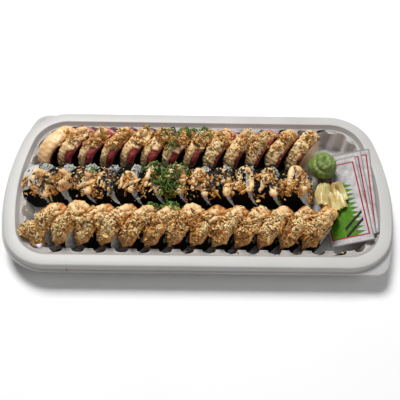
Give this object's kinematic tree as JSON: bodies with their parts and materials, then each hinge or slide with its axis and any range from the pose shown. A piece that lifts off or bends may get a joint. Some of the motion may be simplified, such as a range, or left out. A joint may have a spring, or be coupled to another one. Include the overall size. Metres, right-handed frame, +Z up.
{
  "type": "sushi platter",
  "caption": "Long clear-grey plastic tray filled with rows of topped sushi roll slices, wasabi, pickled ginger and sauce sachets.",
  "frame": {"origin": "centre of the tray's base, on the plane that the tray rests on", "axes": "+X along the tray towards the sachets, +Y towards the far long side, +Z up"},
  "size_m": [0.3776, 0.183, 0.0445],
  "materials": {
    "tray": "satin pale grey thermoformed plastic",
    "tuna_rolls": "moist raw tuna with sauce, fried onion and sesame",
    "nori_rolls": "dull nori with rice, sauce, fried onion and sesame",
    "salmon_rolls": "moist raw salmon with sauce, fried onion and sesame",
    "wasabi": "matt green paste",
    "ginger": "moist pale yellow slices",
    "film": "silvery printed film"
  },
  "bodies": {
    "root": {"tray": "tray", "tuna_roll_01": "tuna_rolls", "tuna_roll_02": "tuna_rolls", "tuna_roll_03": "tuna_rolls", "tuna_roll_04": "tuna_rolls", "tuna_roll_05": "tuna_rolls", "tuna_roll_06": "tuna_rolls", "tuna_roll_07": "tuna_rolls", "tuna_roll_08": "tuna_rolls", "tuna_roll_09": "tuna_rolls", "tuna_roll_10": "tuna_rolls", "tuna_roll_11": "tuna_rolls", "tuna_roll_12": "tuna_rolls", "tuna_roll_13": "tuna_rolls", "nori_roll_01": "nori_rolls", "nori_roll_02": "nori_rolls", "nori_roll_03": "nori_rolls", "nori_roll_04": "nori_rolls", "nori_roll_05": "nori_rolls", "nori_roll_06": "nori_rolls", "nori_roll_07": "nori_rolls", "nori_roll_08": "nori_rolls", "nori_roll_09": "nori_rolls", "nori_roll_10": "nori_rolls", "nori_roll_11": "nori_rolls", "nori_roll_12": "nori_rolls", "salmon_roll_01": "salmon_rolls", "salmon_roll_02": "salmon_rolls", "salmon_roll_03": "salmon_rolls", "salmon_roll_04": "salmon_rolls", "salmon_roll_05": "salmon_rolls", "salmon_roll_06": "salmon_rolls", "salmon_roll_07": "salmon_rolls", "salmon_roll_08": "salmon_rolls", "salmon_roll_09": "salmon_rolls", "salmon_roll_10": "salmon_rolls", "salmon_roll_11": "salmon_rolls", "salmon_roll_12": "salmon_rolls", "salmon_roll_13": "salmon_rolls", "wasabi": "wasabi", "ginger": "ginger", "sachet_1": "film", "sachet_2": "film", "sachet_3": "film"}
  },
  "joints": []
}
